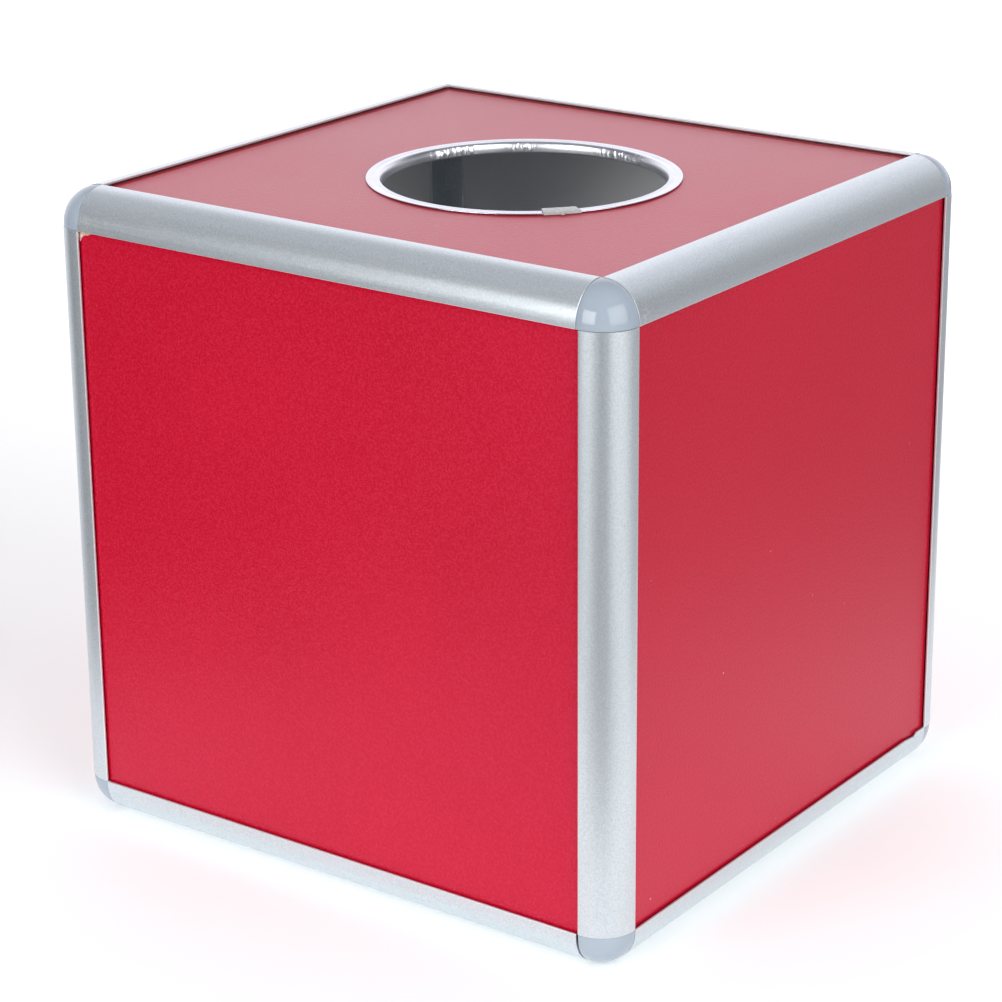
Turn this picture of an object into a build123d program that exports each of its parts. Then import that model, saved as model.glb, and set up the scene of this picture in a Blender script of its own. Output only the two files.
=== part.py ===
from build123d import *

import os

# Donation box: a 300 mm class box with twelve quarter-round aluminium edge profiles, eight moulded ball
# corners, six thin boards held in the profile slots, and a chrome edging strip round a hand hole in the top.
# Millimetres. The origin is the centre of the base, on the surface that the box stands on. The front faces -Y.

# Driving dimensions
WIDTH = 302.0  # along X, over the profiles
DEPTH = 289.0  # along Y, over the profiles
HEIGHT = 300.0  # along Z, over the profiles

# Edge profile section. Both legs are the same, and are measured from the two outer planes of the box.
LEG = 17.6  # outer plane to the end of the outer lip
ARC_RADIUS = 16.4  # outside of the round; a short flat land is left at each lip
SKIN = 1.1  # wall of the round and of its lips
LIP_ROUND = 0.3  # rounding of the outer lip's end
INNER_FACE = 6.5  # outer plane to the profile's face inside the box
INNER_WALL = 1.2
INNER_LEG = 17.5  # outer plane to the end of the inner lip
RIB_START = 11.2  # rib that closes the tongue chamber and stops the board
RIB_END = 12.2
RIB_ROOT = 1.3  # outer plane to the rib's root, inside the round's wall

# Boards
BOARD_THICKNESS = 3.0
BOARD_RECESS = 2.0  # outer plane to the board's outer face
BOARD_MARGIN = 12.6  # outer plane to the board's edge, inside the slots
BOARD_CLIP = 8.0  # clipped corners, which clear the ball corners

# Ball corners
SEAM = 0.1  # gap between a ball corner and the end of a profile
BALL_RECESS = 0.2  # how far the ball sits inside the profiles' surface
BALL_WALL = 1.5
BULKHEAD = 1.5  # end wall that faces each profile
BULKHEAD_REACH = 11.9  # outer plane to the bulkhead's edge, short of the boards
BULKHEAD_WALL_END = 6.4
TONGUE_LENGTH = 25.0
TONGUE_START = 7.4
TONGUE_END = 11.0
TONGUE_CLEARANCE = 0.15

# Hand hole and its trim, which sit a little to the front right of the middle
HOLE_X = 6.5
HOLE_Y = -2.5
HOLE_RADIUS = 65.0
TRIM_INNER_RADIUS = 64.0
TRIM_OUTER_RADIUS = 71.1
TRIM_UNDER_RADIUS = 69.6  # outer edge of the flange under the board
TRIM_SHEET = 0.6
TRIM_LIFT = 0.2  # gap between the trim's flanges and the board
JOINT_ANGLE = -41.2  # where the strip's two ends meet
JOINT_GAP_ANGLE = 0.6

# Clip over the trim's joint
CLIP_ANGLE = 13.4  # the sweep that it covers
CLIP_SHEET = 0.4
CLIP_INNER_RADIUS = 63.5
CLIP_OUTER_RADIUS = 71.3
CLIP_NUB_ANGLE = 1.6
CLIP_NUB_RADIUS = 72.2
CLIP_CLEARANCE = 0.05

OUTER_SIZE = (WIDTH, DEPTH, HEIGHT)
QUARTER_TURNS = {(-1, -1): 0, (1, -1): 1, (1, 1): 2, (-1, 1): 3}  # from the front left corner
BOARD_TOP = HEIGHT - BOARD_RECESS
BOARD_UNDERSIDE = BOARD_TOP - BOARD_THICKNESS
TRIM_TOP = BOARD_TOP + TRIM_LIFT + TRIM_SHEET
TRIM_BOTTOM = BOARD_UNDERSIDE - TRIM_LIFT - TRIM_SHEET


def round_corner(offset, end):
    """The quarter-round region of one corner, set back by offset from both outer planes, out to end."""
    start = Vector(offset, ARC_RADIUS)
    finish = Vector(ARC_RADIUS, offset)
    centre = (ARC_RADIUS, ARC_RADIUS)
    outline = [
        Line((end, end), (offset, end)),
        Line((offset, end), start),
        CenterArc(centre, ARC_RADIUS - offset, 180, 90),
        Line(finish, (end, offset)),
        Line((end, offset), (end, end)),
    ]
    return make_face(Wire(outline))


def span(low_u, high_u, low_v, high_v):
    """A rectangle given by its limits."""
    centre = ((low_u + high_u) / 2, (low_v + high_v) / 2)
    return Pos(*centre) * Rectangle(high_u - low_u, high_v - low_v)


def both_legs(low_u, high_u, low_v, high_v):
    """The same rectangle on both legs of the section."""
    return [span(low_u, high_u, low_v, high_v), span(low_v, high_v, low_u, high_u)]


def profile_section():
    """The extrusion's section, with its outer corner at the origin."""
    skin = round_corner(0, LEG) - round_corner(SKIN, LEG + SKIN)
    tips = [v for v in skin.vertices() if max(v.X, v.Y) > LEG - LIP_ROUND]
    skin = fillet(tips, LIP_ROUND)
    inner_start = INNER_FACE - INNER_WALL
    section = skin + both_legs(inner_start, INNER_FACE, inner_start, INNER_LEG)
    section += both_legs(RIB_ROOT, inner_start + INNER_WALL / 2, RIB_START, RIB_END)
    return section


def edge_profile(run_axis, signs):
    """One profile along run_axis, at the edge that signs names on the other two axes, 0 being the run axis."""
    inward = []
    corner = [0.0, 0.0, HEIGHT / 2]
    for axis, sign in enumerate(signs):
        if axis == run_axis:
            continue
        corner[axis] += sign * OUTER_SIZE[axis] / 2
        direction = [0.0, 0.0, 0.0]
        direction[axis] = -sign
        inward.append(Vector(*direction))
    place = Plane(origin=Vector(*corner), x_dir=inward[0], z_dir=inward[0].cross(inward[1]))
    length = OUTER_SIZE[run_axis] - 2 * LEG
    return extrude(place * profile_section(), amount=length / 2, both=True)


def cube(low, high):
    """A cube between two points on the diagonal of a corner."""
    middle = (low + high) / 2
    side = high - low
    return Pos(middle, middle, middle) * Box(side, side, side)


def ball(radius):
    """The ball about the centre that a corner's three rounds share, with its poles away from the corner."""
    centre = Vector(ARC_RADIUS, ARC_RADIUS, ARC_RADIUS)
    return Plane(origin=centre, x_dir=(1, 1, 1), z_dir=(1, -1, 0)) * Sphere(radius)


def ball_block(end):
    """A corner of the box out to end: a ball at the corner, and a short round and flats towards each profile."""
    block = ball(ARC_RADIUS - BALL_RECESS) & cube(0, ARC_RADIUS)
    round_end = round_corner(BALL_RECESS, end)
    for towards in (Plane.XY, Plane.YZ, Plane.ZX):
        block += extrude(towards.offset(ARC_RADIUS) * round_end, amount=end - ARC_RADIUS)
    return block


def tongue_section():
    """The two tongues that fill a profile's two chambers."""
    chamber = round_corner(SKIN + TONGUE_CLEARANCE, LEG)
    width = INNER_FACE - INNER_WALL - TONGUE_CLEARANCE
    limits = Sketch() + both_legs(0, width, TONGUE_START, TONGUE_END)
    return chamber & limits


def bulkhead_windows():
    """What is cut from the wall that faces one profile: the middle, and room for the edges of two boards."""
    shell = BALL_RECESS + BALL_WALL
    far = 2 * LEG
    middle = span(BULKHEAD_WALL_END, far, BULKHEAD_WALL_END, far)
    return middle + both_legs(shell, far, BULKHEAD_REACH, far)


def ball_corner(signs):
    """One ball corner, placed at the corner of the box that signs names."""
    end = LEG - SEAM
    wall_start = end - BULKHEAD
    inside = ball(ARC_RADIUS - BALL_RECESS - BALL_WALL) & cube(0, wall_start)
    body = ball_block(end) - inside
    for towards in (Plane.XY, Plane.YZ, Plane.ZX):
        window_start = towards.offset(wall_start - BULKHEAD)
        body -= extrude(window_start * bulkhead_windows(), amount=3 * BULKHEAD)
    for towards in (Plane.XY, Plane.YZ, Plane.ZX):
        tongue_root = towards.offset(end - BULKHEAD / 2)
        body += extrude(tongue_root * tongue_section(), amount=BULKHEAD / 2 + TONGUE_LENGTH)
    quarter_turns = QUARTER_TURNS[signs[0], signs[1]]
    if signs[2] > 0:
        # turned over, the piece faces the back left, one quarter turn short of the front left
        body = Rot(180, 0, 0) * body
        quarter_turns += 1
    corner = [sign * size / 2 for sign, size in zip(signs, OUTER_SIZE)]
    return Pos(corner[0], corner[1], corner[2] + HEIGHT / 2) * Rot(0, 0, 90 * quarter_turns) * body


def board(normal_axis, sign):
    """One board, square to normal_axis, with clipped corners."""
    others = [axis for axis in range(3) if axis != normal_axis]
    centre = [0.0, 0.0, HEIGHT / 2]
    centre[normal_axis] += sign * (OUTER_SIZE[normal_axis] / 2 - BOARD_RECESS - BOARD_THICKNESS / 2)
    size = [0.0, 0.0, 0.0]
    size[normal_axis] = BOARD_THICKNESS
    for axis in others:
        size[axis] = OUTER_SIZE[axis] - 2 * BOARD_MARGIN
    sheet = Pos(*centre) * Box(*size)
    corner_edges = sheet.edges().filter_by((Axis.X, Axis.Y, Axis.Z)[normal_axis])
    return chamfer(corner_edges, BOARD_CLIP)


def top_board():
    """The top board, with its hand hole."""
    hole = Pos(HOLE_X, HOLE_Y, BOARD_TOP) * Cylinder(HOLE_RADIUS, 4 * BOARD_THICKNESS)
    return board(2, 1) - hole


def ring_part(low_radius, high_radius, low_z, high_z, start_angle, sweep):
    """A rectangular band about the hole's axis, over part of a turn."""
    outline = Pos((low_radius + high_radius) / 2, (low_z + high_z) / 2) * Rectangle(
        high_radius - low_radius, high_z - low_z
    )
    band = revolve(Plane.XZ * outline, Axis.Z, sweep)
    return Pos(HOLE_X, HOLE_Y, 0) * Rot(0, 0, start_angle) * band


def hole_trim():
    """The chrome edging strip: a channel over the hole's edge, open at its joint."""
    wall_radius = TRIM_INNER_RADIUS + TRIM_SHEET
    channel = Plane.XZ * (
        span(TRIM_INNER_RADIUS, TRIM_OUTER_RADIUS, TRIM_TOP - TRIM_SHEET, TRIM_TOP)
        + span(TRIM_INNER_RADIUS, TRIM_UNDER_RADIUS, TRIM_BOTTOM, TRIM_BOTTOM + TRIM_SHEET)
        + span(TRIM_INNER_RADIUS, wall_radius, TRIM_BOTTOM, TRIM_TOP)
    )
    strip = revolve(channel, Axis.Z, 360 - JOINT_GAP_ANGLE)
    start = JOINT_ANGLE + JOINT_GAP_ANGLE / 2
    return Pos(HOLE_X, HOLE_Y, 0) * Rot(0, 0, start) * strip


def joint_clip():
    """The clip over the strip's joint: a top plate, a leg down the hole's wall, and a nub at the front."""
    start = JOINT_ANGLE - CLIP_ANGLE / 2
    base = TRIM_TOP + CLIP_CLEARANCE
    leg_radius = TRIM_INNER_RADIUS - CLIP_CLEARANCE
    top = base + CLIP_SHEET
    clip = ring_part(CLIP_INNER_RADIUS, CLIP_OUTER_RADIUS, base, top, start, CLIP_ANGLE)
    clip += ring_part(CLIP_INNER_RADIUS, leg_radius, TRIM_BOTTOM, top, start, CLIP_ANGLE)
    nub_start = JOINT_ANGLE - CLIP_NUB_ANGLE / 2
    clip += ring_part(CLIP_OUTER_RADIUS - CLIP_SHEET, CLIP_NUB_RADIUS, base, top, nub_start, CLIP_NUB_ANGLE)
    return clip


SIDES = {"left": (0, -1), "right": (0, 1), "front": (1, -1), "back": (1, 1), "bottom": (2, -1), "top": (2, 1)}


def edge_signs(first, second):
    """The signs of the two outer planes that meet at an edge."""
    signs = [0, 0, 0]
    for side in (first, second):
        axis, sign = SIDES[side]
        signs[axis] = sign
    return signs


def all_parts():
    """Every sub-part by its name."""
    parts = {}
    for level in ("bottom", "top"):
        for side in ("front", "back"):
            parts[f"rail_{level}_{side}"] = edge_profile(0, edge_signs(level, side))
        for side in ("left", "right"):
            parts[f"rail_{level}_{side}"] = edge_profile(1, edge_signs(level, side))
    for depth_side in ("front", "back"):
        for width_side in ("left", "right"):
            parts[f"post_{depth_side}_{width_side}"] = edge_profile(2, edge_signs(depth_side, width_side))
            for level in ("bottom", "top"):
                signs = edge_signs(depth_side, width_side)
                signs[2] = SIDES[level][1]
                parts[f"corner_{level}_{depth_side}_{width_side}"] = ball_corner(signs)
    for side, (axis, sign) in SIDES.items():
        if side != "top":
            parts[f"board_{side}"] = board(axis, sign)
    parts["board_top"] = top_board()
    parts["hole_trim"] = hole_trim()
    parts["trim_joint_clip"] = joint_clip()
    return parts


os.makedirs("parts", exist_ok=True)
for name, part in all_parts().items():
    export_step(part, f"parts/{name}.step")
    print(name, round(part.volume), part.bounding_box().size)
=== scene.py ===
import math

import bmesh
import bpy
from mathutils import Matrix, Vector, noise


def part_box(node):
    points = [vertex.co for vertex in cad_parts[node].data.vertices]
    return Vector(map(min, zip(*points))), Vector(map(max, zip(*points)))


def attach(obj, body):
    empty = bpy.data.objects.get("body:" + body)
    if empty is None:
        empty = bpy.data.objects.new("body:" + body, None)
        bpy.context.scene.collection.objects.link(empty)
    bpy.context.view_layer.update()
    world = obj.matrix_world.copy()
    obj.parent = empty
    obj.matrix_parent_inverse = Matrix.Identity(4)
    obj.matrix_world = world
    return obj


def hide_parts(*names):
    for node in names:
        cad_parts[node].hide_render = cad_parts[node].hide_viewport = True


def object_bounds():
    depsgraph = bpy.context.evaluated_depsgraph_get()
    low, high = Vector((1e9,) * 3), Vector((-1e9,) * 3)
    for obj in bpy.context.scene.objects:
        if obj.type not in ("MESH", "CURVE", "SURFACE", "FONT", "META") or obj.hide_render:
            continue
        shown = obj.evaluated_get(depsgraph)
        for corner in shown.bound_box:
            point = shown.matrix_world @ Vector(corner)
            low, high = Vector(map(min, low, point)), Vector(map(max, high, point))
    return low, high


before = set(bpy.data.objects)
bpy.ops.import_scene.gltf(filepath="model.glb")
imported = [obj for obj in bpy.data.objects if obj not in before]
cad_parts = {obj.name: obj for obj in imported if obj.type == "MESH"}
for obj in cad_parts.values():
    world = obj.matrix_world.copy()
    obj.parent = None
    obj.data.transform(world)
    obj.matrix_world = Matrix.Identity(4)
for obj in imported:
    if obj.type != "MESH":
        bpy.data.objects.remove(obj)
cad_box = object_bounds()

# Donation box: twelve extruded edge profiles, eight moulded ball corners, six faced boards, a bright strip
# round the hand hole and a clip over the strip's joint. Metres. The front faces -Y.

MM = 0.001
LOW, HIGH = cad_box
CENTRE = (LOW + HIGH) / 2
SIDES = {
    "left": Vector((-1, 0, 0)),
    "right": Vector((1, 0, 0)),
    "front": Vector((0, -1, 0)),
    "back": Vector((0, 1, 0)),
    "bottom": Vector((0, 0, -1)),
    "top": Vector((0, 0, 1)),
}

# Edge profile section, measured from the two outer planes
LEG = 17.6 * MM
ARC_RADIUS = 16.4 * MM
SKIN = 1.1 * MM
LIP_ROUND = 0.32 * MM
INNER_FACE = 6.5 * MM
SLOT_BACK = 5.3 * MM
INNER_LEG = 17.5 * MM
RIB_START = 11.2 * MM
RIB_END = 12.2 * MM
SAW_BEVEL = 0.14 * MM

# Ball corners
BALL_RADIUS = 16.2 * MM
BALL_WALL = 1.5 * MM
BALL_END = 17.5 * MM
BALL_BEVEL = 0.16 * MM
BULKHEAD_START = 16.0 * MM
BULKHEAD_END = 17.42 * MM
BULKHEAD_REACH = 11.9 * MM
BULKHEAD_WALL_END = 6.4 * MM
TONGUE_ROOT = 16.7 * MM
TONGUE_TIP = 42.5 * MM
TONGUE_START = 7.4 * MM
TONGUE_END = 11.0 * MM
TONGUE_CLEARANCE = 0.15 * MM

# How much shorter an extrusion is at its right end, and how far the near top corner reaches to meet it
RAIL_CUT = {"rail_top_front": 1.2 * MM, "rail_bottom_front": 0.9 * MM}
LONG_ARM = 1.15 * MM

# Dent in the lower right rail's lip: its place, how it starts and springs back, and the strip that it bends
DENT_PLACE = 117.5 * MM
DENT_START = 11.5 * MM
DENT_RAMP = 11.0 * MM
DENT_BACK_RAMP = 1.8 * MM
DENT_LEG_START = 11.5 * MM
DENT_LEG_RAMP = 6.0 * MM
DENT_SKIN = 2.0 * MM

# Knocks on the extrusions: place and size
SCUFFS = (
    ((-0.1290, -0.144, 0.2860), 4.6 * MM),
    ((0.150, -0.1225, 0.2865), 4.0 * MM),
)

# Boards
BOARD_CLIP = 8.0 * MM
BOARD_EDGE_ROUND = 0.12 * MM
BOARD_SIDE_STEPS = 32
BOARD_RINGS = 14
HOLE_RADIUS = 65.0 * MM

# Hole trim: a strip bent to a channel. Its joint and crimps are at angles in degrees from +X towards +Y
TRIM_SHEET = 0.6 * MM
TRIM_WALL_RADIUS = 64.0 * MM
TRIM_OUTER_RADIUS = 71.1 * MM
TRIM_UNDER_RADIUS = 69.6 * MM
TRIM_EXTRA_DEPTH = 0.8 * MM
TRIM_ROLL_WIDTH = 1.6 * MM
TRIM_ROLL_HEIGHT = 3.4 * MM
TRIM_LOW_BEND = 0.9 * MM
TRIM_CORNER_GAP = 0.1 * MM
TRIM_CORNER_DROP = 0.70 * MM
GROOVE_DEPTH = 0.28 * MM
FRONT_LIFT = 0.24 * MM
CRIMP_DEPTH = 0.60 * MM
JOINT_ANGLE = -41.2
JOINT_GAP = 0.6
CRIMPED = ((143, 171), (120, 134), (66, 94))

# Clip over the trim's joint
CLIP_SHEET = 0.4 * MM
CLIP_INNER_RADIUS = 63.55 * MM
CLIP_OUTER_RADIUS = 71.75 * MM
CLIP_BEND = 0.5 * MM
CLIP_HEM = 1.15 * MM
CLIP_RISE = 0.25 * MM
CLIP_HALF_ANGLE = 6.7
NUB_HALF_ANGLE = 0.9
NUB_REACH = 1.5 * MM

# Camera, as the box was seen: azimuth and elevation of the view, place, focal length and framing
VIEW_AZIMUTH = math.radians(34.946)
VIEW_ELEVATION = math.radians(19.213)
VIEW_ROLL = math.radians(-0.098)
CAMERA_PLACE = Vector((0.78576, -1.09020, 0.62483))
CAMERA_LENS = 109.89
CAMERA_SHIFT = (-0.0589, -0.0309)

# Brightness of the room, of what is overhead and of the wall behind
WORLD_ROOM = 0.12
WORLD_ZENITH = 0.38
WORLD_WALL = 1.33

# Softboxes: name, azimuth, elevation, width and height in metres, and watts
SOFTBOXES = (
    ("left_softbox", -5, 17, 1.04, 0.92, 6.5),
    ("right_softbox", 76, 22, 1.46, 1.29, 7.4),
)
SOFTBOX_DISTANCE = 1.6
SOFTBOX_SPREAD = 110

# Painted light: the table glows beside the box and, in lobes, towards each softbox, standing in for the
# light that it gives back. A lobe has an azimuth, the angle from it at which it ends and the angle at which
# it is full
TABLE_GLOW = 0.27
TABLE_LOBE_ANGLES = ((-5, 24, 12), (76, 30, 16))
TABLE_LOBES = 0.4


# ---------------------------------------------------------------- materials


class Nodes:
    """A material's node tree, with short calls for the nodes that this script uses."""

    def __init__(self, name):
        self.material = bpy.data.materials.new(name)
        self.material.use_nodes = True
        self.tree = self.material.node_tree
        self.shader = self.tree.nodes["Principled BSDF"]
        self.place = self.add("ShaderNodeTexCoord").outputs["Object"]

    def add(self, kind, **settings):
        node = self.tree.nodes.new(kind)
        for key, value in settings.items():
            setattr(node, key, value)
        return node

    def link(self, output, socket):
        self.tree.links.new(output, socket)

    def put(self, socket, value):
        if isinstance(value, bpy.types.NodeSocket):
            self.link(value, socket)
        else:
            socket.default_value = value

    def math(self, operation, first, second=0.0):
        node = self.add("ShaderNodeMath", operation=operation)
        self.put(node.inputs[0], first)
        self.put(node.inputs[1], second)
        return node.outputs[0]

    def stretched(self, scale, place=None):
        node = self.add("ShaderNodeMapping")
        self.put(node.inputs["Vector"], place or self.place)
        node.inputs["Scale"].default_value = scale
        return node.outputs[0]

    def noise(self, scale, detail=2.0, rough=0.5, place=None):
        node = self.add("ShaderNodeTexNoise")
        self.put(node.inputs["Vector"], place or self.place)
        node.inputs["Scale"].default_value = scale
        node.inputs["Detail"].default_value = detail
        node.inputs["Roughness"].default_value = rough
        return node.outputs["Fac"]

    def cells(self, scale, place=None):
        node = self.add("ShaderNodeTexVoronoi")
        self.put(node.inputs["Vector"], place or self.place)
        node.inputs["Scale"].default_value = scale
        return node.outputs["Distance"]

    def remap(self, value, low, high, to_low=0.0, to_high=1.0):
        node = self.add("ShaderNodeMapRange")
        self.put(node.inputs["Value"], value)
        for key, number in (("From Min", low), ("From Max", high), ("To Min", to_low), ("To Max", to_high)):
            node.inputs[key].default_value = number
        return node.outputs[0]

    def mix(self, share, first, second):
        node = self.add("ShaderNodeMix", data_type="RGBA")
        self.put(node.inputs[0], share)
        self.put(node.inputs[6], first)
        self.put(node.inputs[7], second)
        return node.outputs[2]

    def bump(self, height, depth, strength=1.0, under=None):
        node = self.add("ShaderNodeBump")
        self.put(node.inputs["Height"], height)
        node.inputs["Distance"].default_value = depth
        node.inputs["Strength"].default_value = strength
        if under is not None:
            self.link(under, node.inputs["Normal"])
        return node.outputs[0]

    def finish(self, color, roughness, normal=None, **constants):
        self.put(self.shader.inputs["Base Color"], color)
        self.put(self.shader.inputs["Roughness"], roughness)
        if normal is not None:
            self.link(normal, self.shader.inputs["Normal"])
        for key, value in constants.items():
            self.shader.inputs[key.replace("_", " ")].default_value = value
        return self.material


def edge_distance(nodes):
    """A point's distance from the nearest box edge, which is that from its second nearest outer plane."""
    here = nodes.add("ShaderNodeNewGeometry").outputs["Position"]
    split = nodes.add("ShaderNodeSeparateXYZ")
    nodes.put(split.inputs[0], here)
    inward = []
    for axis in range(3):
        off_middle = nodes.math("ABSOLUTE", nodes.math("SUBTRACT", split.outputs[axis], CENTRE[axis]))
        inward.append(nodes.math("SUBTRACT", (HIGH[axis] - LOW[axis]) / 2, off_middle))
    least = nodes.math("MINIMUM", inward[0], inward[1])
    most = nodes.math("MAXIMUM", inward[0], inward[1])
    return nodes.math("MAXIMUM", least, nodes.math("MINIMUM", most, inward[2]))


def specks(nodes, cell_scale, size, keep, place=None):
    """Sparse dots: one in each kept cell of a regular scatter."""
    cell = nodes.add("ShaderNodeTexVoronoi")
    nodes.put(cell.inputs["Vector"], place or nodes.place)
    cell.inputs["Scale"].default_value = cell_scale
    dot = nodes.remap(cell.outputs["Distance"], size, size * 0.55)
    chosen = nodes.remap(cell.outputs["Color"], keep, keep + 0.01)
    return nodes.math("MULTIPLY", dot, chosen)


def film_material():
    """Semi-gloss crimson film: a pebbled grain and dust, painted shade in the slots, and smoother beside
    them.
    """
    n = Nodes("red_film")
    patches = n.noise(9.0, 3.0)
    grain = n.noise(900.0, 3.0, 0.65)
    pebble = n.cells(620.0)
    base = n.mix(n.remap(patches, 0.3, 0.7), (0.480, 0.0006, 0.0160, 1), (0.520, 0.0010, 0.0200, 1))
    base = n.mix(n.remap(grain, 0.42, 0.66, 0.0, 0.55), base, (0.62, 0.018, 0.055, 1))
    dust = n.math("MAXIMUM", specks(n, 55.0, 0.030, 0.62), specks(n, 105.0, 0.034, 0.80))
    color = n.mix(n.math("MULTIPLY", dust, 0.75), base, (0.88, 0.60, 0.64, 1))
    inward = edge_distance(n)
    # Painted shade: the film is darkened where it runs under the profiles' lips, into the slots.
    painted_slot_shade = n.remap(inward, LEG - 0.10 * MM, LEG - 1.20 * MM)
    color = n.mix(painted_slot_shade, color, (0.160, 0.004, 0.022, 1))
    rough = n.math("ADD", n.remap(grain, 0.2, 0.8, 0.27, 0.35), n.remap(patches, 0.2, 0.8, -0.02, 0.03))
    rough = n.math("SUBTRACT", rough, n.remap(inward, LEG + 3.4 * MM, LEG + 1.4 * MM, 0.0, 0.15))
    normal = n.bump(pebble, 0.04 * MM, 0.7)
    normal = n.bump(grain, 0.16 * MM, 0.9, normal)
    material = n.finish(color, rough, normal, IOR=1.44, Sheen_Weight=0.12, Sheen_Roughness=0.3)
    n.shader.inputs["Specular Tint"].default_value = (0.86, 0.62, 1.0, 1)
    return material


def backing_material():
    """The board's inner face, kept pale so that the inside isn't lost in the dark."""
    n = Nodes("grey_backing")
    fibre = n.noise(420.0, 4.0, 0.6)
    patches = n.noise(14.0, 3.0)
    base = n.mix(n.remap(patches, 0.3, 0.7), (0.88, 0.885, 0.90, 1), (0.91, 0.915, 0.93, 1))
    color = n.mix(n.remap(fibre, 0.35, 0.7, 0.0, 0.25), base, (0.93, 0.935, 0.945, 1))
    return n.finish(color, n.remap(fibre, 0.2, 0.8, 0.5, 0.62), n.bump(fibre, 0.04 * MM, 0.5))


def core_material():
    """Pressed fibre core, as the board's cut edges and the chipped corner show it."""
    n = Nodes("fibre_core")
    fibre = n.noise(1600.0, 5.0, 0.7, n.stretched((1.0, 1.0, 0.35)))
    color = n.mix(n.remap(fibre, 0.3, 0.7), (0.42, 0.29, 0.15, 1), (0.66, 0.52, 0.33, 1))
    return n.finish(color, n.remap(fibre, 0.2, 0.8, 0.8, 0.95), n.bump(fibre, 0.25 * MM, 0.9))


def tear_material():
    """The pale underside of the film where it is torn."""
    n = Nodes("torn_film")
    fibre = n.noise(1500.0, 3.0, 0.6)
    color = n.mix(n.remap(fibre, 0.3, 0.7), (0.70, 0.40, 0.42, 1), (0.82, 0.66, 0.64, 1))
    return n.finish(color, n.remap(fibre, 0.3, 0.7, 0.5, 0.7), n.bump(fibre, 0.05 * MM, 0.6))


def profile_material():
    """Sandblasted and clear anodised extrusion: blast grain over faint die lines, with small scuffs, and a
    painted highlight along the lips' ends.
    """
    n = Nodes("anodised_profile")
    here = n.add("ShaderNodeNewGeometry").outputs["Position"]
    blast = n.noise(1300.0, 2.0, 0.5, here)
    coarse = n.noise(520.0, 3.0, 0.6, here)
    lines = n.noise(900.0, 2.0, 0.5, n.stretched((1.0, 1.0, 0.012)))
    cloud = n.noise(24.0, 2.0, 0.5, here)
    base = n.mix(n.remap(blast, 0.34, 0.66), (0.565, 0.625, 0.660, 1), (0.695, 0.765, 0.800, 1))
    base = n.mix(n.remap(cloud, 0.3, 0.7, 0.0, 0.35), base, (0.67, 0.705, 0.74, 1))
    nick = specks(n, 70.0, 0.035, 0.70, here)
    color = n.mix(n.math("MULTIPLY", nick, 0.6), base, (0.93, 0.94, 0.95, 1))
    marks = n.noise(900.0, 4.0, 0.7, here)
    for centre, radius in SCUFFS:
        apart = n.add("ShaderNodeVectorMath", operation="DISTANCE")
        n.put(apart.inputs[0], here)
        apart.inputs[1].default_value = centre
        near = n.remap(apart.outputs["Value"], radius, radius * 0.4)
        mark = n.math("MULTIPLY", near, n.remap(marks, 0.50, 0.60))
        color = n.mix(mark, color, (0.90, 0.89, 0.88, 1))
        pit = n.math("MULTIPLY", near, n.remap(marks, 0.36, 0.30))
        color = n.mix(pit, color, (0.20, 0.20, 0.21, 1))
    # Painted highlight: the lips' ends are lighter, and tinted cool against the red board's reflection on
    # them.
    lip = n.remap(edge_distance(n), LEG - 0.42 * MM, LEG - 0.12 * MM)
    color = n.mix(lip, color, (0.86, 0.94, 0.93, 1))
    rough = n.math("ADD", n.remap(coarse, 0.25, 0.75, 0.29, 0.35), n.remap(lines, 0.3, 0.7, -0.02, 0.02))
    normal = n.bump(lines, 0.006 * MM, 0.5)
    normal = n.bump(blast, 0.022 * MM, 0.7, normal)
    return n.finish(color, rough, normal, Metallic=0.72)


def ball_material():
    """Moulded blue-grey plastic with a soft gloss."""
    n = Nodes("corner_plastic")
    flow = n.noise(60.0, 3.0)
    pits = n.noise(900.0, 2.0)
    color = n.mix(n.remap(flow, 0.3, 0.7), (0.345, 0.405, 0.475, 1), (0.375, 0.435, 0.505, 1))
    rough = n.remap(pits, 0.3, 0.7, 0.05, 0.09)
    return n.finish(color, rough, n.bump(flow, 0.02 * MM, 0.3), IOR=1.5)


def chrome_material(top):
    """Bright edging strip with light handling marks: polished flange, and below the bend at top a rougher
    satin wall whose colour is painted lighter, a painted highlight.
    """
    n = Nodes("bright_trim")
    smear = n.noise(70.0, 4.0, 0.6)
    fine = n.noise(900.0, 2.0)
    here = n.add("ShaderNodeSeparateXYZ")
    n.put(here.inputs[0], n.add("ShaderNodeNewGeometry").outputs["Position"])
    # Below the bend the wall is rougher, and its colour is painted lighter: painted light on the wall.
    wall = n.remap(here.outputs["Z"], top - 0.5 * MM, top - 1.3 * MM)
    color = n.mix(n.remap(smear, 0.3, 0.7), (0.54, 0.56, 0.61, 1), (0.63, 0.65, 0.70, 1))
    color = n.mix(wall, color, (0.86, 0.88, 0.92, 1))
    rough = n.math("ADD", n.remap(smear, 0.3, 0.8, 0.15, 0.22), n.remap(fine, 0.3, 0.7, 0.0, 0.03))
    rough = n.math("ADD", rough, n.remap(wall, 0.0, 1.0, 0.0, 0.16))
    return n.finish(color, rough, n.bump(smear, 0.08 * MM, 0.3), Metallic=1.0)


def clip_material():
    """Pale, slightly milky clip."""
    n = Nodes("joint_clip")
    cloud = n.noise(300.0, 3.0)
    color = n.mix(n.remap(cloud, 0.3, 0.7), (0.40, 0.41, 0.40, 1), (0.44, 0.45, 0.44, 1))
    return n.finish(color, n.remap(cloud, 0.3, 0.7, 0.22, 0.34), n.bump(cloud, 0.005 * MM, 0.3))


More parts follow.
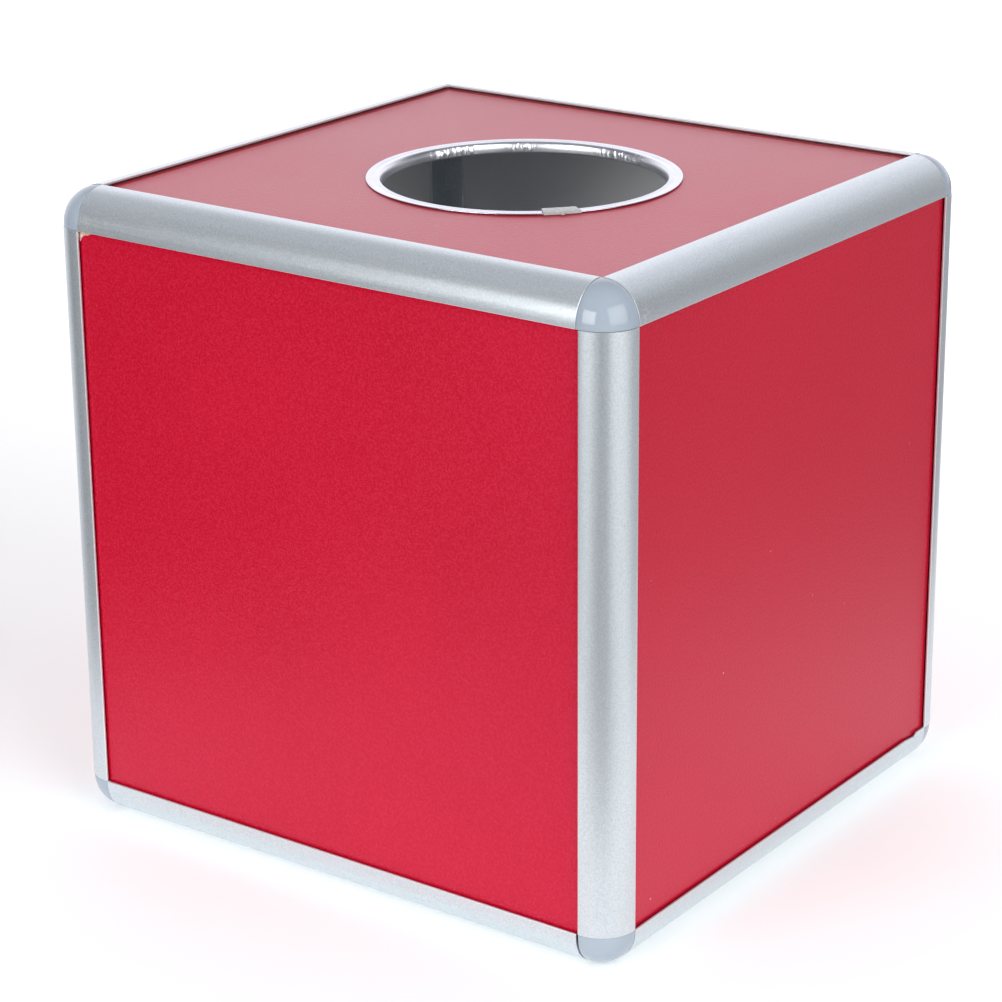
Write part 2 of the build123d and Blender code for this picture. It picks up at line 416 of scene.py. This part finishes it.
def floor_material():
    """Pale table, painted light and shade: it glows round, behind and towards each softbox, and is darker
    in front and beside.
    """
    n = Nodes("pale_floor")
    soft = n.noise(3.0, 2.0)

    def vector(operation, first, second=None):
        node = n.add("ShaderNodeVectorMath", operation=operation)
        n.put(node.inputs[0], first)
        if second is not None:
            node.inputs[1].default_value = second
        return node

    away = vector("LENGTH", n.place).outputs["Value"]
    behind = vector("DOT_PRODUCT", n.place, (-0.12, 0.99, 0.0)).outputs["Value"]
    # Painted shade: the table's colour is darker in front of the box, and darker again beside it.
    front = n.remap(behind, 0.05, -0.25)
    painted_front_shade = n.math("MULTIPLY", front, n.remap(away, 0.30, 0.45))
    near = n.mix(n.remap(soft, 0.3, 0.7), (0.84, 0.87, 0.872, 1), (0.87, 0.895, 0.898, 1))
    aside = vector("DOT_PRODUCT", n.place, (0.917, 0.434, 0.0)).outputs["Value"]
    beside = n.remap(aside, 0.28, 0.48)
    color = n.mix(painted_front_shade, near, (0.17, 0.17, 0.172, 1))
    color = n.mix(beside, color, (0.42, 0.42, 0.425, 1))
    material = n.finish(color, n.remap(soft, 0.3, 0.7, 0.85, 0.95))

    # Painted light: the table emits light round and behind the box, and in lobes towards each softbox.
    around = n.remap(painted_front_shade, 1.0, 0.0, 0.0, TABLE_GLOW)
    glow = n.math("ADD", around, n.remap(behind, 0.0, 1.1, 0.0, 2.0 * TABLE_GLOW))
    glow = n.math("MULTIPLY", glow, n.remap(beside, 0.0, 1.0, 1.0, 0.12))
    heading = vector("NORMALIZE", n.place).outputs["Vector"]
    for azimuth, edge, full in TABLE_LOBE_ANGLES:
        turn = math.radians(azimuth)
        toward = vector("DOT_PRODUCT", heading, (math.sin(turn), -math.cos(turn), 0.0)).outputs["Value"]
        lobe = n.remap(toward, math.cos(math.radians(edge)), math.cos(math.radians(full)), 0.0, TABLE_LOBES)
        glow = n.math("ADD", glow, n.math("MULTIPLY", lobe, n.remap(away, 0.25, 0.45)))
    n.shader.inputs["Emission Color"].default_value = (1, 1, 1, 1)
    n.put(n.shader.inputs["Emission Strength"], glow)
    return material


# ---------------------------------------------------------------- mesh helpers


def arc(centre, radius, start, sweep, steps):
    """Points along an arc, ends included. Angles in degrees."""
    points = []
    for i in range(steps + 1):
        angle = math.radians(start + sweep * i / steps)
        points.append((centre[0] + radius * math.cos(angle), centre[1] + radius * math.sin(angle)))
    return points


def swapped(points):
    """The same outline on the section's other leg, in the opposite order."""
    return [(v, u) for u, v in reversed(points)]


def add_piece(name, mesh_data, materials, replaced, place=None, sharp=30.0):
    """Makes the mesh an object of the scene that stands for its CAD node."""
    mesh = bpy.data.meshes.new(name)
    mesh_data.to_mesh(mesh)
    mesh_data.free()
    for material in materials:
        mesh.materials.append(material)
    mesh.polygons.foreach_set("use_smooth", [True] * len(mesh.polygons))
    mesh.set_sharp_from_angle(angle=math.radians(sharp))
    piece = bpy.data.objects.new(name, mesh)
    bpy.context.scene.collection.objects.link(piece)
    if place is not None:
        piece.matrix_world = place
    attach(piece, "root")
    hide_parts(*replaced)
    return piece


def ring_of(bm, points, height):
    return [bm.verts.new((u, v, height)) for u, v in points]


def bridge(bm, first, second):
    """Quads between two closed rings of vertices."""
    count = len(first)
    for i in range(count):
        j = (i + 1) % count
        bm.faces.new((first[i], first[j], second[j], second[i]))


def cap(bm, rings):
    """Fills the flat region between closed rings."""
    edges = []
    for ring in rings:
        for i, vert in enumerate(ring):
            edges.append(bm.edges.get((vert, ring[(i + 1) % len(ring)])))
    bmesh.ops.triangle_fill(bm, use_beauty=True, use_dissolve=False, edges=edges)


def inset(points, distance):
    """A closed outline moved inwards by distance; it runs anticlockwise."""
    moved = []
    count = len(points)
    for i, (u, v) in enumerate(points):
        before, after = points[i - 1], points[(i + 1) % count]
        normals = []
        for start, end in ((before, (u, v)), ((u, v), after)):
            du, dv = end[0] - start[0], end[1] - start[1]
            size = math.hypot(du, dv)
            normals.append((-dv / size, du / size))
        nu = normals[0][0] + normals[1][0]
        nv = normals[0][1] + normals[1][1]
        scale = 2.0 / max(nu * nu + nv * nv, 1.0)
        moved.append((u + nu * scale * distance, v + nv * scale * distance))
    return moved


def extruded(bm, outline, low, high):
    """A closed prism of an outline between two heights."""
    first = ring_of(bm, outline, low)
    second = ring_of(bm, outline, high)
    bridge(bm, first, second)
    cap(bm, [first])
    cap(bm, [second])


def tidy_normals(bm):
    bmesh.ops.recalc_face_normals(bm, faces=bm.faces)


# ---------------------------------------------------------------- edge profiles


def arc_angle(v, radius):
    """The angle on a round about the section's centre whose point is at height v."""
    return 180.0 + math.degrees(math.asin((ARC_RADIUS - v) / radius))


def profile_outline():
    """The section's outer outline, anticlockwise, the round's corner being at the origin."""
    centre = (ARC_RADIUS, ARC_RADIUS)
    inner_radius = ARC_RADIUS - SKIN
    lip = arc((LIP_ROUND, LEG - LIP_ROUND), LIP_ROUND, 90, 90, 4)
    lip_inside = arc((SKIN - LIP_ROUND, LEG - LIP_ROUND), LIP_ROUND, 0, 90, 4)
    slot_start = arc_angle(RIB_END, inner_radius)
    slot = arc(centre, inner_radius, slot_start, 180.0 - slot_start, 6)
    inner_tip = [(SLOT_BACK, RIB_END), (SLOT_BACK, INNER_LEG), (INNER_FACE, INNER_LEG)]
    upper_leg = list(reversed(inner_tip)) + slot + lip_inside + lip
    lower_leg = swapped(upper_leg)
    round_face = arc(centre, ARC_RADIUS, 180, 90, 40)
    return upper_leg + round_face + lower_leg + [(INNER_FACE, INNER_FACE)]


def chamber_outline():
    """The closed chamber under one leg's rib, anticlockwise."""
    radius = ARC_RADIUS - SKIN
    start = arc_angle(RIB_START, radius)
    end_v = ARC_RADIUS - math.sqrt(radius * radius - (ARC_RADIUS - SLOT_BACK) ** 2)
    end = arc_angle(end_v, radius)
    return arc((ARC_RADIUS, ARC_RADIUS), radius, start, end - start, 10) + [(SLOT_BACK, RIB_START)]


def profile_mesh(length, dent_at=None):
    """One cut length of the extrusion along its local Z, centred, with rings crowded round dent_at for a
    dent to bend.
    """
    bm = bmesh.new()
    outline = profile_outline()
    holes = [chamber_outline(), swapped(chamber_outline())]
    half = length / 2
    heights = [-half, -half + SAW_BEVEL]
    count = 12
    heights += [-half + length * i / count for i in range(1, count)]
    if dent_at is not None:
        heights += [dent_at + step * MM for step in range(-14, 15)]
        heights = sorted(h for h in set(heights) if abs(h) < half - 2 * SAW_BEVEL)
        heights = [-half, -half + SAW_BEVEL] + heights
    heights += [half - SAW_BEVEL, half]
    ends = (heights[0], heights[-1])
    rings = {key: [] for key in range(3)}
    for height in heights:
        at_end = height in ends
        for key, shape in enumerate([outline] + holes):
            depth = SAW_BEVEL if key == 0 else -SAW_BEVEL
            points = inset(shape, depth) if at_end else shape
            rings[key].append(ring_of(bm, points, height))
    for key in rings:
        for first, second in zip(rings[key], rings[key][1:]):
            bridge(bm, first, second)
    for end in (0, -1):
        cap(bm, [rings[key][end] for key in rings])
    tidy_normals(bm)
    return bm


def edge_place(first, second):
    """The local frame of the edge between two sides: X and Y run inwards from it, and Z along it."""
    inward = [-SIDES[first], -SIDES[second]]
    along = inward[0].cross(inward[1])
    corner = CENTRE.copy()
    for side in (first, second):
        for axis in range(3):
            if SIDES[side][axis]:
                corner[axis] = HIGH[axis] if SIDES[side][axis] > 0 else LOW[axis]
    turn = Matrix((inward[0], inward[1], along)).transposed().to_4x4()
    return Matrix.Translation(corner) @ turn


def run_length(first, second):
    """The length of the profile between two sides."""
    along = SIDES[first].cross(SIDES[second])
    size = sum(abs(along[axis]) * (HIGH[axis] - LOW[axis]) for axis in range(3))
    return size - 2 * LEG


def dent_depth(along):
    """How far the lip is pushed down at a distance along the dented rail."""
    ramp = min(1.0, max(0.0, (along - DENT_PLACE + DENT_START) / DENT_RAMP))
    back = min(1.0, max(0.0, (along - DENT_PLACE) / DENT_BACK_RAMP))
    return (1.15 * ramp ** 1.6 - 1.5 * back) * MM


def press_dent(bm):
    """Bends the lip of the lower right rail's upright leg, near its back end."""
    for vert in bm.verts:
        reach = min(1.0, max(0.0, (vert.co.x - DENT_LEG_START) / DENT_LEG_RAMP))
        if vert.co.y < DENT_SKIN and reach > 0.0:
            depth = dent_depth(-vert.co.z)
            vert.co.x -= depth * reach * reach
            vert.co.y += 0.4 * abs(depth) * reach * reach


def add_profiles(material):
    edges = [(level, side) for level in ("bottom", "top") for side in ("front", "back", "left", "right")]
    edges += [(depth, width) for depth in ("front", "back") for width in ("left", "right")]
    for first, second in edges:
        kind = "rail" if first in ("bottom", "top") else "post"
        name = f"{kind}_{first}_{second}"
        dented = name == "rail_bottom_right"
        cut = RAIL_CUT.get(name, 0.0)
        bm = profile_mesh(run_length(first, second) - cut, -DENT_PLACE if dented else None)
        if dented:
            press_dent(bm)
        place = Matrix.Translation((-cut / 2, 0.0, 0.0)) @ edge_place(first, second)
        add_piece(f"{name}_extrusion", bm, [material], [name], place)


# ---------------------------------------------------------------- ball corners


def ball_samples(end):
    """Places along a cube edge from the corner to the end, with thin last steps for the rounded rim."""
    steps = 22
    places = []
    for i in range(steps + 1):
        angle = math.pi / 4 * (1 - i / steps)
        places.append(ARC_RADIUS - BALL_RADIUS * math.tan(angle))
    return places + [end - BALL_BEVEL, end - BALL_BEVEL * 0.3, end]


def ball_point(place, radius):
    """The point of the rounded corner that a point of the square corner maps to."""
    middle = Vector(max(c, ARC_RADIUS) for c in place)
    outward = Vector(place) - middle
    return middle + outward.normalized() * radius


def ball_shell(bm, ends):
    """The moulded shell: three patches that meet at the corner, doubled inwards by the wall."""
    places = [ball_samples(end) for end in ends]
    last = len(places[0]) - 1
    pulls = {last: BALL_BEVEL, last - 1: BALL_BEVEL * 0.3}
    start = ARC_RADIUS - BALL_RADIUS
    stores = ({}, {})

    def vertex(store, square, radius):
        key = tuple(round(c / (0.001 * MM)) for c in square)
        if key not in store:
            store[key] = bm.verts.new(ball_point(square, radius))
        return store[key]

    for axis in range(3):
        grids = ([], [])
        for i, first in enumerate(places[(axis + 1) % 3]):
            rows = ([], [])
            for j, second in enumerate(places[(axis + 2) % 3]):
                square = [0.0, 0.0, 0.0]
                square[axis] = start
                square[(axis + 1) % 3] = first
                square[(axis + 2) % 3] = second
                pull = pulls.get(max(i, j), 0.0)
                rows[0].append(vertex(stores[0], square, BALL_RADIUS - pull))
                rows[1].append(vertex(stores[1], square, BALL_RADIUS - BALL_WALL))
            for grid, row in zip(grids, rows):
                grid.append(row)
        for grid in grids:
            for i in range(last):
                for j in range(last):
                    bm.faces.new((grid[i][j], grid[i + 1][j], grid[i + 1][j + 1], grid[i][j + 1]))
        outer, inner = grids
        for i in range(last):
            bm.faces.new((outer[last][i], outer[last][i + 1], inner[last][i + 1], inner[last][i]))
            bm.faces.new((outer[i][last], outer[i + 1][last], inner[i + 1][last], inner[i][last]))


def bulkhead_outline():
    """The wall that faces a profile, short of the two boards' edges."""
    radius = BALL_RADIUS - BALL_WALL / 2
    start = arc_angle(BULKHEAD_REACH, radius)
    round_part = arc((ARC_RADIUS, ARC_RADIUS), radius, start, 270.0 - 2 * (start - 180.0) - 180.0, 16)
    return round_part + [
        (BULKHEAD_REACH, BULKHEAD_WALL_END),
        (BULKHEAD_WALL_END, BULKHEAD_WALL_END),
        (BULKHEAD_WALL_END, BULKHEAD_REACH),
    ]


def tongue_outline():
    """One tongue, a little smaller than the chamber that it fills."""
    radius = ARC_RADIUS - SKIN - TONGUE_CLEARANCE
    start = arc_angle(TONGUE_END, radius)
    end = arc_angle(TONGUE_START, radius)
    wall = SLOT_BACK - TONGUE_CLEARANCE
    round_part = arc((ARC_RADIUS, ARC_RADIUS), radius, start, end - start, 8)
    return round_part + [(wall, TONGUE_START), (wall, TONGUE_END)]


def turned(outline, bm, low, high, axis):
    """An outline's prism, set along one of the three axes."""
    before = len(bm.verts)
    extruded(bm, outline, low, high)
    bm.verts.ensure_lookup_table()
    for vert in bm.verts[before:]:
        u, v, w = vert.co
        moved = [0.0, 0.0, 0.0]
        moved[axis] = w
        moved[(axis + 1) % 3] = u
        moved[(axis + 2) % 3] = v
        vert.co = moved


def ball_mesh(ends):
    bm = bmesh.new()
    ball_shell(bm, ends)
    for axis in range(3):
        change = ends[axis] - BALL_END
        turned(bulkhead_outline(), bm, BULKHEAD_START + change, BULKHEAD_END + change, axis)
        for outline in (tongue_outline(), swapped(tongue_outline())):
            turned(outline, bm, TONGUE_ROOT + change, TONGUE_TIP + change, axis)
    tidy_normals(bm)
    return bm


def add_balls(material):
    quarter = {("front", "left"): 0, ("front", "right"): 1, ("back", "right"): 2, ("back", "left"): 3}
    for (depth, width), turns in quarter.items():
        for level in ("bottom", "top"):
            turn = Matrix.Identity(4)
            steps = turns
            if level == "top":
                turn = Matrix.Rotation(math.pi, 4, "X")
                steps += 1
            turn = Matrix.Rotation(steps * math.pi / 2, 4, "Z") @ turn
            corner = Vector(
                (
                    HIGH.x if width == "right" else LOW.x,
                    HIGH.y if depth == "back" else LOW.y,
                    HIGH.z if level == "top" else LOW.z,
                )
            )
            name = f"corner_{level}_{depth}_{width}"
            ends = [BALL_END] * 3
            if name == "corner_top_front_right":
                ends = [BALL_END + LONG_ARM * abs(turn.col[axis].x) for axis in range(3)]
            place = Matrix.Translation(corner) @ turn
            add_piece(f"{name}_moulding", ball_mesh(ends), [material], [name], place, 40.0)


# ---------------------------------------------------------------- boards


def board_outline(low, high, per_side):
    """A rectangle with clipped corners, anticlockwise from its lower right, as evenly spaced points."""
    corners = []
    for (x, y), (dx, dy) in (
        ((high[0], low[1]), (-1, 1)),
        ((high[0], high[1]), (-1, -1)),
        ((low[0], high[1]), (1, -1)),
        ((low[0], low[1]), (1, 1)),
    ):
        along_x = (x + dx * BOARD_CLIP, y)
        along_y = (x, y + dy * BOARD_CLIP)
        corners.append((along_x, along_y) if dx * dy < 0 else (along_y, along_x))
    points = []
    for index, (enter, leave) in enumerate(corners):
        points += [enter]
        following = corners[(index + 1) % 4][0]
        for i in range(per_side):
            share = i / per_side
            x = leave[0] + (following[0] - leave[0]) * share
            y = leave[1] + (following[1] - leave[1]) * share
            points.append((x, y))
    return points


def board_mesh(low, high, thickness, hole=None):
    """A board in its own plane, with its outer face at local Z zero. hole is (x, y, radius)."""
    bm = bmesh.new()
    outline = board_outline(low, high, BOARD_SIDE_STEPS)
    middle = ((low[0] + high[0]) / 2, (low[1] + high[1]) / 2)
    centre = (hole[0], hole[1]) if hole else middle
    first_ring = 1 if hole is None else 0
    shares = [i / BOARD_RINGS for i in range(first_ring, BOARD_RINGS + 1)]
    faces = {}
    for side, height in {"outer": 0.0, "inner": -thickness}.items():
        rings = []
        for share in shares:
            ring = []
            for x, y in outline:
                direction = Vector((x - centre[0], y - centre[1]))
                start = direction.normalized() * hole[2] if hole else Vector((0.0, 0.0))
                point = Vector(centre) + start + (direction - start) * share
                ring.append((point.x, point.y))
            if share == 1.0:
                ring = inset(ring, BOARD_EDGE_ROUND)
            rings.append(ring_of(bm, ring, height))
        for first, second in zip(rings, rings[1:]):
            bridge(bm, first, second)
        if hole is None:
            hub = bm.verts.new((centre[0], centre[1], height))
            first = rings[0]
            for i in range(len(first)):
                bm.faces.new((hub, first[i], first[(i + 1) % len(first)]))
        faces[side] = rings
    edge_rings = [faces["outer"][-1]]
    for height in (-BOARD_EDGE_ROUND, -thickness + BOARD_EDGE_ROUND):
        edge_rings.append(ring_of(bm, outline, height))
    edge_rings.append(faces["inner"][-1])
    edge_start = len(bm.faces)
    for first, second in zip(edge_rings, edge_rings[1:]):
        bridge(bm, first, second)
    if hole:
        bridge(bm, faces["outer"][0], faces["inner"][0])
    bm.faces.ensure_lookup_table()
    tidy_normals(bm)
    for index, face in enumerate(bm.faces):
        if index >= edge_start:
            face.material_index = 1
        elif face.normal.z < 0:
            face.material_index = 2
    return bm


def lump(bm, outline, low, high, rough, material_index):
    """A small closed body over an outline, with an uneven top."""
    before = len(bm.faces)
    centre = (sum(u for u, _ in outline) / len(outline), sum(v for _, v in outline) / len(outline))
    rings = [ring_of(bm, outline, low)]
    for share in (1.0, 0.66, 0.33):
        ring = []
        for u, v in outline:
            x = centre[0] + (u - centre[0]) * share
            y = centre[1] + (v - centre[1]) * share
            height = high + rough * noise.noise(Vector((x * 2300, y * 2300, 1.0)))
            ring.append(bm.verts.new((x, y, height)))
        rings.append(ring)
    for first, second in zip(rings, rings[1:]):
        bridge(bm, first, second)
    bm.faces.new(rings[0])
    bm.faces.new(rings[-1])
    bm.faces.ensure_lookup_table()
    for face in bm.faces[before:]:
        face.material_index = material_index


def add_chip(bm, corner):
    """The knocked corner of the front board: bare core below the profile's lip, and a torn bit of film."""
    bare = [(7.6, 0.6), (6.9, -0.5), (5.6, -1.0), (4.4, -1.7), (3.1, -1.6)]
    bare += [(2.2, -2.1), (0.9, -1.9), (-0.6, -2.4), (-0.8, 0.8)]
    torn = [(1.9, -1.7), (1.5, -2.6), (0.7, -3.1), (0.3, -4.3), (-0.5, -4.9), (-0.9, -1.6), (0.4, -1.2)]
    for outline, low, high, rough, index in ((bare, -0.4, 0.05, 0.10, 1), (torn, -0.1, 0.16, 0.14, 3)):
        placed = [(corner[0] + u * MM, corner[1] + v * MM) for u, v in reversed(outline)]
        lump(bm, placed, low * MM, high * MM, rough * MM, index)


def board_place(side):
    """The local frame of a board: Z out of the box, X level, and Y up the board."""
    outward = SIDES[side]
    up = Vector((0, 0, 1)) if side not in ("top", "bottom") else Vector((0, 1, 0))
    across = up.cross(outward)
    return Matrix((across, outward.cross(across), outward)).transposed()


def add_boards(materials, trim_centre, hole_radius):
    for side in SIDES:
        name = f"board_{side}"
        low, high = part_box(name)
        turn = board_place(side)
        local = [turn.transposed() @ corner for corner in (low, high)]
        local_low = Vector(min(a, b) for a, b in zip(*local))
        local_high = Vector(max(a, b) for a, b in zip(*local))
        hole = None
        if side == "top":
            hole = (trim_centre.x, trim_centre.y, hole_radius)
        bm = board_mesh(local_low.xy, local_high.xy, local_high.z - local_low.z, hole)
        if side == "front":
            add_chip(bm, (LOW.x + LEG, HIGH.z - LEG))
        bmesh.ops.translate(bm, verts=bm.verts, vec=(0, 0, local_high.z))
        bmesh.ops.transform(bm, verts=bm.verts, matrix=turn.to_4x4())
        add_piece(f"{name}_panel", bm, materials, [name])


# ---------------------------------------------------------------- hole trim and clip


def trim_section(top, bottom):
    """The strip's section as (radius, height) points, anticlockwise: a channel with soft bends."""
    bend = TRIM_LOW_BEND
    tip = TRIM_SHEET / 2
    outside = arc((TRIM_OUTER_RADIUS - tip, top - tip), tip, -90, 180, 6)
    top_bend = []
    for i in range(13):
        angle = math.radians(90 + 90 * i / 12)
        radius = TRIM_WALL_RADIUS + TRIM_ROLL_WIDTH * (1 + math.cos(angle))
        top_bend.append((radius, top - TRIM_ROLL_HEIGHT * (1 - math.sin(angle))))
    low_bend = arc((TRIM_WALL_RADIUS + bend, bottom + bend), bend, 180, 90, 8)
    under_tip = arc((TRIM_UNDER_RADIUS - tip, bottom + tip), tip, -90, 180, 4)
    inner = bend - TRIM_SHEET
    low_inside = arc((TRIM_WALL_RADIUS + bend, bottom + bend), inner, 270, -90, 4)
    top_inside = [
        (TRIM_WALL_RADIUS + TRIM_SHEET, top - TRIM_ROLL_HEIGHT),
        (HOLE_RADIUS - TRIM_CORNER_GAP, top - TRIM_CORNER_DROP),
        (TRIM_WALL_RADIUS + TRIM_ROLL_WIDTH, top - TRIM_SHEET),
    ]
    from_wall = (6.2, 5.4, 4.9, 4.4, 3.9, 3.5, 3.1, 2.7, 2.2, 1.7)
    flange_radii = [TRIM_WALL_RADIUS + distance * MM for distance in from_wall]
    upper_face = [(radius, top) for radius in flange_radii]
    under_face = [(radius, top - TRIM_SHEET) for radius in reversed(flange_radii)]
    return outside + upper_face + top_bend + low_bend + under_tip + low_inside + top_inside + under_face


def polar(centre, radius, angle, height):
    """The point at a radius and an angle round a centre."""
    return (centre.x + radius * math.cos(angle), centre.y + radius * math.sin(angle), height)


def crimp(angle):
    """How strongly the strip is crimped at an angle, from 0 to 1."""
    strength = 0.0
    for low, high in CRIMPED:
        middle, half = (low + high) / 2, (high - low) / 2
        strength = max(strength, min(1.0, max(0.0, (half - abs(angle - middle)) / 4.0)))
    return strength


def trim_mesh(centre, top, bottom):
    bm = bmesh.new()
    section = trim_section(top, bottom)
    steps = 900
    start = JOINT_ANGLE + JOINT_GAP / 2
    sweep = 360.0 - JOINT_GAP
    rings = []
    for i in range(steps + 1):
        degrees = start + sweep * i / steps
        angle = math.radians(degrees)
        turn = degrees % 360.0
        strength = crimp(turn)
        ring = []
        for radius, height in section:
            near_wall = max(0.0, 1.0 - (radius - TRIM_WALL_RADIUS) / TRIM_ROLL_WIDTH)
            depth = max(0.0, min(1.0, (top - height) / (top - bottom)))
            wrinkle = noise.noise(Vector((turn * 1.1, depth * 0.9, 4.0)))
            wrinkle += 0.5 * noise.noise(Vector((turn * 2.3, depth * 2.0, 9.0)))
            out = radius + strength * near_wall * min(wrinkle, 0.3) * CRIMP_DEPTH
            lift = 0.08 * MM * noise.noise(Vector((math.cos(angle) * 1.3, math.sin(angle) * 1.3, 2.0)))
            flange = max(0.0, (radius - TRIM_WALL_RADIUS) / (TRIM_OUTER_RADIUS - TRIM_WALL_RADIUS))
            if depth < 0.25:
                lift += FRONT_LIFT * flange * max(0.0, math.cos(math.radians(turn - JOINT_ANGLE)))
            if height > top - TRIM_SHEET / 2:
                lift -= GROOVE_DEPTH * math.exp(-(((flange - 0.5) / 0.16) ** 2))
            wave = lift + strength * near_wall * wrinkle * 0.08 * MM
            ring.append(bm.verts.new(polar(centre, out, angle, height + wave)))
        rings.append(ring)
    for first, second in zip(rings, rings[1:]):
        bridge(bm, first, second)
    bm.faces.new(rings[0])
    bm.faces.new(list(reversed(rings[-1])))
    tidy_normals(bm)
    return bm


def clip_mesh(centre, low, high):
    """The joint clip: a thin plate across the flange, turned down the wall, with a nub outside."""
    bm = bmesh.new()
    sheet, bend = CLIP_SHEET, CLIP_BEND
    inner, outer = CLIP_INNER_RADIUS, CLIP_OUTER_RADIUS
    hem = high - CLIP_HEM
    outline = [(outer - sheet, hem), (outer, hem)]
    outline += arc((outer - bend, high - bend), bend, 0, 90, 6)
    outline += arc((inner + bend, high - bend), bend, 90, 90, 6)
    outline += [(inner, low), (inner + sheet, low)]
    outline += arc((inner + bend, high - bend), bend - sheet, 180, -90, 3)
    outline += arc((outer - bend, high - bend), bend - sheet, 90, -90, 3)
    steps = 40
    rings = []
    for i in range(steps + 1):
        share = i / steps * 2 - 1
        degrees = JOINT_ANGLE + CLIP_HALF_ANGLE * share
        chord_angle = math.radians(CLIP_HALF_ANGLE * 0.6)
        chord = math.cos(chord_angle) / math.cos(chord_angle * share)
        angle = math.radians(degrees)
        ring = []
        for radius, height in outline:
            nub = 0.0
            off_joint = degrees - JOINT_ANGLE
            if radius > outer - sheet / 2 and abs(off_joint) < NUB_HALF_ANGLE:
                nub = NUB_REACH * math.cos(math.radians(90 * off_joint / NUB_HALF_ANGLE)) ** 0.5
            ring.append(bm.verts.new(polar(centre, radius * chord + nub, angle, height)))
        rings.append(ring)
    for first, second in zip(rings, rings[1:]):
        bridge(bm, first, second)
    bm.faces.new(rings[0])
    bm.faces.new(list(reversed(rings[-1])))
    tidy_normals(bm)
    return bm


# ---------------------------------------------------------------- camera, lights and floor


def add_camera():
    back = Vector(
        (
            math.sin(VIEW_AZIMUTH) * math.cos(VIEW_ELEVATION),
            -math.cos(VIEW_AZIMUTH) * math.cos(VIEW_ELEVATION),
            math.sin(VIEW_ELEVATION),
        )
    )
    right = Vector((math.cos(VIEW_AZIMUTH), math.sin(VIEW_AZIMUTH), 0.0))
    up = back.cross(right)
    turn = Matrix((right, up, back)).transposed() @ Matrix.Rotation(VIEW_ROLL, 3, "Z")
    data = bpy.data.cameras.new("camera")
    data.lens = CAMERA_LENS
    data.sensor_width = 36.0
    data.shift_x, data.shift_y = CAMERA_SHIFT
    data.clip_start = 0.05
    camera = bpy.data.objects.new("camera", data)
    camera.matrix_world = Matrix.Translation(CAMERA_PLACE) @ turn.to_4x4()
    bpy.context.scene.collection.objects.link(camera)
    bpy.context.scene.camera = camera


def add_softbox(name, azimuth, elevation, width, height, power):
    """A rectangular light that faces the box, with a grid that narrows it to SOFTBOX_SPREAD degrees."""
    a, e = math.radians(azimuth), math.radians(elevation)
    out = Vector((math.sin(a) * math.cos(e), -math.cos(a) * math.cos(e), math.sin(e)))
    data = bpy.data.lights.new(name, "AREA")
    data.shape = "RECTANGLE"
    data.size, data.size_y = width, height
    data.energy = power
    data.spread = math.radians(SOFTBOX_SPREAD)
    light = bpy.data.objects.new(name, data)
    light.rotation_mode = "QUATERNION"
    light.rotation_quaternion = (-out).to_track_quat("-Z", "Y")
    light.location = CENTRE + out * SOFTBOX_DISTANCE
    bpy.context.scene.collection.objects.link(light)


def add_stage(material):
    bm = bmesh.new()
    bmesh.ops.create_grid(bm, x_segments=8, y_segments=8, size=6.0)
    mesh = bpy.data.meshes.new("floor")
    bm.to_mesh(mesh)
    bm.free()
    mesh.materials.append(material)
    floor = bpy.data.objects.new("floor", mesh)
    floor.location.z = LOW.z - 0.02 * MM
    bpy.context.scene.collection.objects.link(floor)


def add_world():
    """Dim room light, brighter overhead, with a pale wall behind the box."""
    world = bpy.data.worlds.new("studio")
    world.use_nodes = True
    tree = world.node_tree

    def add(kind, operation=None):
        node = tree.nodes.new(kind)
        if operation:
            node.operation = operation
        return node

    def ramp(name, value, low, high, to_high):
        node = add("ShaderNodeMapRange")
        node.name = name
        node.interpolation_type = "SMOOTHSTEP"
        for key, number in (("From Min", low), ("From Max", high), ("To Min", 0.0), ("To Max", to_high)):
            node.inputs[key].default_value = number
        tree.links.new(value, node.inputs["Value"])
        return node.outputs[0]

    def join(operation, first, second):
        node = add("ShaderNodeMath", operation)
        tree.links.new(first, node.inputs[0])
        if isinstance(second, float):
            node.inputs[1].default_value = second
        else:
            tree.links.new(second, node.inputs[1])
        return node

    direction = add("ShaderNodeTexCoord").outputs["Generated"]
    parts = add("ShaderNodeSeparateXYZ")
    tree.links.new(direction, parts.inputs[0])
    facing = add("ShaderNodeVectorMath", "DOT_PRODUCT")
    facing.inputs[1].default_value = (-0.60, 0.80, 0.0)
    tree.links.new(direction, facing.inputs[0])
    zenith = ramp("zenith", parts.outputs["Z"], 0.35, 0.9, WORLD_ZENITH)
    wall = ramp("wall", facing.outputs["Value"], 0.20, 0.86, WORLD_WALL)
    under = ramp("wall_height", parts.outputs["Z"], 0.8, 0.45, 1.0)
    total = join("ADD", join("MULTIPLY", wall, under).outputs[0], zenith)
    total = join("ADD", total.outputs[0], WORLD_ROOM)
    total.name = "room"
    background = tree.nodes["Background"]
    background.inputs["Color"].default_value = (0.95, 0.93, 0.99, 1)
    tree.links.new(total.outputs[0], background.inputs["Strength"])
    bpy.context.scene.world = world
    bpy.context.scene.view_settings.view_transform = "Standard"


# ---------------------------------------------------------------- the box

add_camera()
add_world()
add_stage(floor_material())
for softbox in SOFTBOXES:
    add_softbox(*softbox)

add_profiles(profile_material())
add_balls(ball_material())

trim_low, trim_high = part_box("hole_trim")
clip_low, clip_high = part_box("trim_joint_clip")
hole_centre = Vector(((trim_low.x + trim_high.x) / 2, (trim_low.y + trim_high.y) / 2, 0.0))
board_materials = [film_material(), core_material(), backing_material(), tear_material()]
add_boards(board_materials, hole_centre, HOLE_RADIUS)
trim = trim_mesh(hole_centre, trim_high.z, trim_low.z - TRIM_EXTRA_DEPTH)
add_piece("hole_trim_strip", trim, [chrome_material(trim_high.z)], ["hole_trim"], None, 50.0)
clip = clip_mesh(hole_centre, clip_low.z, clip_high.z + CLIP_RISE)
add_piece("joint_clip_plate", clip, [clip_material()], ["trim_joint_clip"], None, 40.0)
